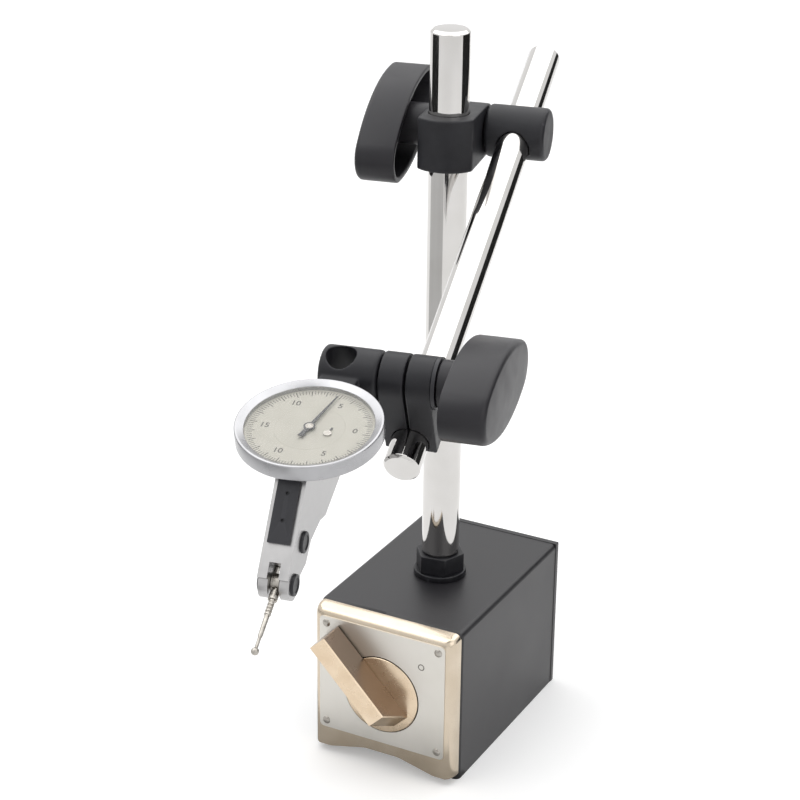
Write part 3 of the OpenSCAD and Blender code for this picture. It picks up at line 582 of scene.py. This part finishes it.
def switch_knob():
    """The boss and its lever bar, with broken edges and a slope at the short end."""
    plate_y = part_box("name_plate")[0].y / MM
    place = Matrix.Translation((0, plate_y, AT_SWITCH.translation.z / MM))
    back_edge, front_edge, break_edge, half = 0.2, 0.3, 0.35, LEVER_W / 2
    boss = rounded([(0, -BOSS_BEHIND), (BOSS_R, -BOSS_BEHIND), (BOSS_R, BOSS_UP), (0, BOSS_UP)],
                   [0, back_edge, front_edge, 0])
    boss = moved(lathe(boss, steps=128), place @ Matrix.Rotation(math.pi / 2, 4, "X"))
    side = [(-LEVER_REACH, -LEVER_OUT), (LEVER_TAIL - LEVER_SLOPE, -LEVER_OUT),
            (LEVER_TAIL, -BOSS_UP), (LEVER_TAIL, 0), (-LEVER_REACH, -BOSS_UP)]
    narrow = inset(side, break_edge)
    rings = [[(x, y, z) for x, y in outline] for outline, z in (
        (narrow, -half), (side, -half + break_edge), (side, half - break_edge), (narrow, half))]
    lever = moved(lofted(rings), place @ Matrix.Rotation(math.radians(LEVER_ANGLE), 4, "Y"))
    drawn("switch_knob_body", merged(boss, lever), WORLD, "switch", "nickel", ["switch_knob"],
          smooth=30, material=SWITCH_NICKEL_SHADED_SIDES)


# Rods

def rods():
    """Column and arm, turned and polished, with rounded end edges."""
    low, high = (corner.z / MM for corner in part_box("column"))
    bevel, foot_edge, shoulder_edge, top_edge = 0.9, 0.3, 0.4, 0.5
    column = rounded(
        [(0, low), (FOOT_R, low), (FOOT_R, COLUMN_SHOULDER), (COLUMN_R, COLUMN_SHOULDER),
         (COLUMN_R, high - bevel), (COLUMN_R - bevel, high), (0, high)],
        [0, foot_edge, 0, shoulder_edge, top_edge, top_edge, 0])
    drawn("column_rod", lathe(column, steps=160), AT_COLUMN, "column", "chrome", ["column"], smooth=50)
    low, high = -ARM_DOWN, ARM_L - ARM_DOWN
    bevel, edge = 0.7, 0.4
    arm = rounded(
        [(0, low), (ARM_R - bevel, low), (ARM_R, low + bevel),
         (ARM_R, high - bevel), (ARM_R - bevel, high), (0, high)],
        [0, edge, edge, edge, edge, 0])
    drawn("arm_rod", lathe(arm, steps=160), AT_ARM, "arm", "chrome", ["arm"], smooth=50)


# Knobs

def oval(depth, z):
    """Outline of a knob drawn in by this depth: two long arcs joined by round tips, its long axis
    along y."""
    tip_y = KNOB_L / 2 - KNOB_TIP
    arc = (tip_y ** 2 + (KNOB_W / 2) ** 2 - KNOB_TIP ** 2) / (2 * (KNOB_W / 2 - KNOB_TIP))
    arc_x = arc - KNOB_W / 2
    join = math.atan2(tip_y, arc_x)
    spans = [(-arc_x, 0, arc, -join, join), (0, tip_y, KNOB_TIP, join, math.pi - join),
             (arc_x, 0, arc, math.pi - join, math.pi + join),
             (0, -tip_y, KNOB_TIP, math.pi + join, 2 * math.pi - join)]
    steps = 24
    points = []
    for x, y, radius, first, last in spans:
        for i in range(steps):
            a = first + (last - first) * i / steps
            points.append((x + (radius - depth) * math.cos(a), y + (radius - depth) * math.sin(a), z))
    return points


def shrunk(ring, share, z):
    return [(x * share, y * share, z) for x, y, _ in ring]


def knob_shell():
    """A hollow oval knob along +z: hub end at z = 0, open side towards the clamp, crowned outside."""
    edge, crown, rim, fillet, into_roof = 1.7, 0.5, 0.5, 1, 0.2
    top = HUB_OUT + KNOB_T - crown
    roof = HUB_OUT + KNOB_T - KNOB_ROOF
    inner = oval(KNOB_WALL + fillet, roof)
    rings = [[(0, 0, roof)]]
    rings += [shrunk(inner, share, roof) for share in (0.35, 0.7, 1)]
    rings += [oval(KNOB_WALL + 0.3 * fillet, roof - 0.3 * fillet), oval(KNOB_WALL, roof - fillet)]
    coarse = [math.pi / 2 * i / 3 for i in range(4)]
    rings += [oval(KNOB_WALL - rim * (1 - math.cos(a)), HUB_OUT + rim * (1 - math.sin(a)))
              for a in coarse]
    rings += [oval(rim * (1 - math.sin(a)), HUB_OUT + rim * (1 - math.cos(a))) for a in coarse]
    fine = [math.pi / 2 * i / 6 for i in range(7)]
    rings += [oval(edge * (1 - math.cos(a)), top - edge * (1 - math.sin(a))) for a in fine]
    face = rings[-1]
    rings += [shrunk(face, share, top + crown * (1 - share ** 2))
              for share in (0.85, 0.65, 0.4, 0.15)]
    rings.append([(0, 0, top + crown)])
    hub_end, inner_edge, outer_edge = roof + into_roof, 0.1, 0.4
    hub = rounded([(INSERT_R, 0), (HUB_R, 0), (HUB_R, hub_end), (INSERT_R, hub_end)],
                  [inner_edge, outer_edge, 0, 0])
    return merged(lofted(rings), lathe(hub, closed=True))


def knobs():
    upper = turned(turned(shifted(AT_UPPER, UPPER_KNOB_X, 0, 0), -90, "Y"), UPPER_KNOB_TURN, "Z")
    lower = turned(turned(shifted(AT_LOWER, LOWER_KNOB_X, 0, 0), 90, "Y"), LOWER_KNOB_TURN, "Z")
    drawn("upper_knob_shell", knob_shell(), upper, "upper_knob", "knob_plastic", ["upper_knob"])
    drawn("lower_knob_shell", knob_shell(), lower, "lower_knob", "knob_plastic", ["lower_knob"])


# Indicator

def bezel_ring():
    """The bezel's ring with a narrow top and a wide slope down to the crystal."""
    top_w, above_crystal, seat_z = 0.6, 0.1, -0.6
    low_inner, low_outer, top_outer, slope_edge = 0.1, 0.5, 0.4, 0.2
    profile = rounded(
        [(DRUM_R, -BEZEL_LOW), (BEZEL_R, -BEZEL_LOW), (BEZEL_R, BEZEL_UP), (BEZEL_R - top_w, BEZEL_UP),
         (DIAL_R, CRYSTAL_Z + above_crystal), (DIAL_R, seat_z), (DRUM_R, seat_z)],
        [low_inner, low_outer, top_outer, slope_edge, slope_edge, 0, 0])
    drawn("bezel_ring", lathe(profile, steps=160, closed=True), AT_DIAL, "bezel", "satin_chrome",
          ["bezel"], material=SHADED_BEZEL_CHROME)


def crystal_pane():
    """A clear pane, slightly domed."""
    edge, rise = 0.15, 0.35
    profile = [(0, CRYSTAL_Z), (DIAL_R, CRYSTAL_Z), (DIAL_R, CRYSTAL_Z + edge)]
    profile += [(DIAL_R * share, CRYSTAL_Z + edge + rise * (1 - share ** 2))
                for share in (0.8, 0.6, 0.4, 0.2)]
    profile.append((0, CRYSTAL_Z + edge + rise))
    drawn("crystal_pane", lathe(profile, steps=128), AT_DIAL, "bezel", "crystal", ["crystal"])


def dial_centre():
    """The fixed middle of the dial, close to the turning ring round it."""
    profile = [(CENTRE_HOLE_R, -DIAL_T), (CENTRE_R, -DIAL_T), (CENTRE_R, 0), (CENTRE_HOLE_R, 0)]
    drawn("dial_centre", lathe(profile, steps=128, closed=True), AT_DIAL, "indicator", "dial_paint",
          ["centre_dial"])


def dial_marks():
    """Printed scale: fine ticks, a longer one at each fifth, and generic numerals."""
    ticks, outer = 120, DIAL_R - 0.7
    marks = []
    for i in range(ticks):
        length, width = (2, 0.26) if i % 5 == 0 else (1.3, 0.18)
        inner, half = outer - length, width / 2
        outline = [(-half, inner), (half, inner), (half, outer), (-half, outer)]
        turn = Matrix.Rotation(2 * math.pi * i / ticks, 4, "Z")
        marks.append(moved(prism(outline, 0, PRINT_T), turn))
    drawn("dial_ticks", merged(*marks), AT_DIAL, "bezel", "pointer_black", material=INK)
    first, apart, radius, height, bolder = 5, 60, 11.6, 2.6, 0.05
    for i, label in enumerate(("0", "5", "10", "15", "10", "5")):
        angle = math.radians(first + apart * i)
        text = bpy.data.curves.new("numeral", "FONT")
        text.body = label
        text.size = height
        text.align_x, text.align_y = "CENTER", "CENTER"
        text.extrude = PRINT_T / 2
        text.offset = bolder
        work = bpy.data.objects.new("numeral", text)
        bpy.context.scene.collection.objects.link(work)
        graph = bpy.context.evaluated_depsgraph_get()
        mesh = bpy.data.meshes.new_from_object(work.evaluated_get(graph))
        bpy.data.objects.remove(work)
        bm = bmesh.new()
        bm.from_mesh(mesh)
        bpy.data.meshes.remove(mesh)
        place = shifted(AT_DIAL, radius * math.cos(angle), radius * math.sin(angle), PRINT_T / 2)
        drawn(f"numeral_{i}", bm, place, "bezel", "pointer_black", material=INK)


def hand_caps():
    """Polished caps on the pointer and on the turn counter."""
    radius, below, height = 1.1, 0.2, 0.2
    for name, body, place, top in (("pointer_cap", "pointer", AT_DIAL, POINTER_TOP),
                                   ("counter_cap", "counter", AT_COUNTER, COUNTER_TOP)):
        room = height if body == "pointer" else height / 2
        profile = [(0, top - below), (radius, top - below)] + dome(radius, top, room)
        drawn(name, lathe(profile, steps=48), place, body, "steel")


def dished_screw(start):
    """A round headed screw along +z: head seated at the body's side, a shallow dish in its top."""
    seat, top = BODY_HALF, BODY_HALF + HEAD_T
    # Inwards from the head's radius and down from its top
    over = [(0, 0.25), (0.1, 0.08), (0.3, 0), (0.65, 0), (0.85, 0.06), (1, 0.22), (HEAD_R, 0.26)]
    profile = [(0, start), (PIVOT_R, start), (PIVOT_R, seat), (HEAD_R, seat)]
    profile += [(HEAD_R - inwards, top - down) for inwards, down in over]
    return lathe(profile, steps=72)


def body_screws():
    """The two pivot screws, the side screw and the strip's screws of the indicator's body."""
    heads = [moved(dished_screw(PIVOT_SCREW_START), turned(WORLD, side, "Y")) for side in (90, -90)]
    drawn("pivot_screw_heads", merged(*heads), AT_PIVOT, "indicator", "black_oxide", ["pivot_screws"])
    place = turned(shifted(AT_PIVOT, 0, SIDE_SCREW_Y, SIDE_SCREW_Z), 90, "Y")
    drawn("side_screw_head", dished_screw(SIDE_SCREW_START), place, "indicator", "black_oxide",
          ["side_screw"])
    radius, head_t, socket = STRIP_SCREW_R, 0.1, 0.6 * STRIP_SCREW_R
    screws = [moved(socket_screw(radius, head_t, radius, STRIP_SCREW_L, socket),
                    Matrix.Translation((0, STRIP_FACE_Y, z)) @ Matrix.Rotation(-math.pi / 2, 4, "X"))
              for z in STRIP_SCREW_Z]
    drawn("strip_screw_heads", merged(*screws), AT_PIVOT, "indicator", "black_oxide", ["strip_screws"])


def stylus_pin():
    """Turned stylus with a ball, grooved below its collar, along its own axis."""
    inside, root_r = COLLAR_END - 2, 0.5
    grooves, pitch, grip_r, ball_r = 5, 0.95, 0.85, 1
    profile = [(0, inside), (root_r, inside), (root_r, COLLAR_END)]
    for k in range(grooves):
        # Inwards from the grip's radius and along from the groove's start
        turns = [(0.1, 0), (0, 0.12), (0, 0.55), (0.2, 0.65), (0.2, pitch - 0.1)]
        profile += [(grip_r - inwards, COLLAR_END + pitch * k + along) for inwards, along in turns]
    neck = [(0.58, 4.4), (0.42, 3.8), (0.4, 0.85)]
    profile.append((0.66, COLLAR_END + grooves * pitch))
    profile += [(radius, STYLUS_L - before) for radius, before in neck]
    profile += [(ball_r * math.sin(a), STYLUS_L - ball_r * math.cos(a))
                for a in (0.55, 0.9, 1.3, 1.7, 2.1, 2.5, 2.85)]
    bm = lathe(profile + [(0, STYLUS_L + ball_r)], steps=40)
    place = turned(AT_PIVOT, -STYLUS_ANGLE, "X") @ Matrix.Scale(-1, 4, UP)
    drawn("stylus_pin", bm, place, "stylus", "steel", ["stylus"])


pole_edges()
front_cover()
plate_rivets()
plate_mark()
rear_screws()
switch_knob()
rods()
eased("rear_plate_sheet", "base", "base_paint", "rear_plate", 0.4)
eased("column_washer_ring", "base", "black_oxide", "column_washer", 0.3)
eased("column_nut_body", "base", "black_oxide", "column_nut", 0.5)
cast("upper_clamp_casting", "upper_clamp", "clamp_paint", ["upper_clamp_block"])
cast("upper_stub_casting", "upper_swivel", "clamp_paint", ["upper_drawbar"])
cast("left_jaw_casting", "lower_clamp", "clamp_paint", ["left_jaw"], voxel=0.25)
cast("right_jaw_casting", "lower_clamp", "clamp_paint", ["right_jaw"], voxel=0.25)
cast("lower_stub_casting", "indicator", "clamp_paint", ["lower_drawbar"], voxel=0.3)
knobs()
bezel_ring()
crystal_pane()
dial_centre()
dial_marks()
hand_caps()
body_screws()
stylus_pin()
eased("indicator_body_case", "indicator", "satin_chrome", "indicator_body", 0.3)

for entry in frame["record"]["subparts"]:
    obj = NODES[entry["node"]]
    obj.data.materials.clear()
    obj.data.materials.append(FINISHES[entry["material_slot"]])


# Stage: floor, light and camera

def seen_directly(tree):
    """One for rays from the camera, from mirrors and through glass, else zero."""
    path = tree.nodes.new("ShaderNodeLightPath")
    either = path.outputs["Is Camera Ray"]
    for other in ("Is Glossy Ray", "Is Transmission Ray"):
        larger = tree.nodes.new("ShaderNodeMath")
        larger.operation = "MAXIMUM"
        link(tree, either, larger.inputs[0])
        link(tree, path.outputs[other], larger.inputs[1])
        either = larger.outputs["Value"]
    return either


def stage_material(name, colour, near, far):
    """Pale diffuse, lifted to white where it is seen directly: by near under the object, by far
    beyond it, where the lamps don't reach."""
    mat = bpy.data.materials.new(name)
    mat.use_nodes = True
    tree = mat.node_tree
    shader = tree.nodes["Principled BSDF"]
    shader.inputs["Base Color"].default_value = colour
    shader.inputs["Roughness"].default_value = 0.9
    shader.inputs["Specular IOR Level"].default_value = 0.1
    shader.inputs["Emission Color"].default_value = (1, 1, 1, 1)
    coords = tree.nodes.new("ShaderNodeTexCoord")
    away = tree.nodes.new("ShaderNodeVectorMath")
    away.operation = "LENGTH"
    link(tree, coords.outputs["Object"], away.inputs[0])
    lift = tree.nodes.new("ShaderNodeMath")
    lift.operation = "MULTIPLY"
    rising = ranged(tree, away.outputs["Value"], near, far, start=0.7, end=2.2)
    link(tree, rising, lift.inputs[0])
    link(tree, seen_directly(tree), lift.inputs[1])
    link(tree, lift.outputs["Value"], shader.inputs["Emission Strength"])
    return mat


def stage_mesh(name, bm, material):
    mesh = bpy.data.meshes.new(name)
    bm.to_mesh(mesh)
    bm.free()
    obj = bpy.data.objects.new(name, mesh)
    bpy.context.scene.collection.objects.link(obj)
    mesh.materials.append(material)
    return obj


def floor():
    bm = bmesh.new()
    bmesh.ops.create_grid(bm, x_segments=1, y_segments=1, size=6)
    stage_mesh("floor", bm, stage_material("floor", (0.9, 0.9, 0.9, 1), 0.3, 0.72))


def world():
    """White where it is seen directly, a softer even light for everything else."""
    made = bpy.data.worlds.new("studio")
    made.use_nodes = True
    tree = made.node_tree
    tree.nodes.clear()
    soft, white = (tree.nodes.new("ShaderNodeBackground") for _ in range(2))
    soft.inputs["Strength"].default_value = 0.32
    soft.inputs["Color"].default_value = (1, 1, 1, 1)
    white.inputs["Color"].default_value = (1, 1, 1, 1)
    mix = tree.nodes.new("ShaderNodeMixShader")
    link(tree, seen_directly(tree), mix.inputs["Fac"])
    link(tree, soft.outputs["Background"], mix.inputs[1])
    link(tree, white.outputs["Background"], mix.inputs[2])
    output = tree.nodes.new("ShaderNodeOutputWorld")
    link(tree, mix.outputs["Shader"], output.inputs["Surface"])
    bpy.context.scene.world = made


def softbox(name, place, target, size, power):
    data = bpy.data.lights.new(name, "AREA")
    data.shape = "RECTANGLE"
    data.size, data.size_y = size
    data.energy = power
    obj = bpy.data.objects.new(name, data)
    obj.location = place
    obj.rotation_euler = (Vector(target) - Vector(place)).to_track_quat("-Z", "Y").to_euler()
    bpy.context.scene.collection.objects.link(obj)


def flag(name, tone, azimuths, radii, heights):
    """A curved card of this grey that only mirrors see, as chrome is lit in a studio. It spans the
    azimuths, in degrees as the views are, between two edges at these radii and heights."""
    steps = 16
    first, last = azimuths
    bm = bmesh.new()
    rows = []
    for i in range(steps + 1):
        a = math.radians(first + (last - first) * i / steps)
        out = Vector((math.sin(a), -math.cos(a), 0))
        rows.append([bm.verts.new(out * r + UP * h) for r, h in zip(radii, heights)])
    for row, other in zip(rows, rows[1:]):
        bm.faces.new([row[0], other[0], other[1], row[1]])
    obj = stage_mesh(name, bm, finish(name, (tone,) * 3, (tone + 6,) * 3, (0.9, 1.0), cloud=200))
    for ray in ("camera", "diffuse", "transmission", "shadow", "volume_scatter"):
        setattr(obj, "visible_" + ray, False)


def camera():
    """The photograph's viewpoint, fitted to the edges of the base, the column and the arm."""
    azimuth, elevation, roll = math.radians(27.8), math.radians(23.2), math.radians(0.68)
    target, distance = Vector((-0.0164, 0, 0.1089)), 0.697
    back = Vector((math.sin(azimuth) * math.cos(elevation), -math.cos(azimuth) * math.cos(elevation),
                   math.sin(elevation)))
    level = Vector((math.cos(azimuth), math.sin(azimuth), 0))
    upright = back.cross(level)
    right = math.cos(roll) * level + math.sin(roll) * upright
    top = math.cos(roll) * upright - math.sin(roll) * level
    data = bpy.data.cameras.new("camera")
    data.lens, data.sensor_width = 98.46, 36
    obj = bpy.data.objects.new("camera", data)
    obj.matrix_world = Matrix((right, top, back)).transposed().to_4x4()
    obj.location = target + back * distance
    bpy.context.scene.collection.objects.link(obj)
    bpy.context.scene.camera = obj


CENTRE = (CAD_BOX[0] + CAD_BOX[1]) / 2
floor()
world()
softbox("top", (-0.15, 0.25, 1.15), CENTRE, (2.2, 1.6), 15)
softbox("key", (-0.5, -0.7, 1.1), CENTRE, (0.9, 0.9), 2)
softbox("fill", (0.9, -0.5, 0.7), CENTRE, (0.8, 0.8), 1.5)
flag("left_flag", 20, (-92, -40), (0.7, 0.7), (0, 0.12))
# A grey card low on the left that only mirrors see: a painted reflection of the shade on the floor to
# the front left
flag("left_shade_card", 205, (-85, 5), (0.28, 0.5), (0.001, 0.075))
flag("right_flag", 20, (100, 166), (0.7, 0.7), (0, 0.36))
# A grey strip on the floor in front of the base that only mirrors see: a painted reflection of the
# shade there, which greys the cover's lower lip
flag("front_shade_card", 195, (-70, 40), (0.04, 0.066), (0.0005, 0.0005))
camera()
bpy.context.scene.view_settings.view_transform = "Standard"
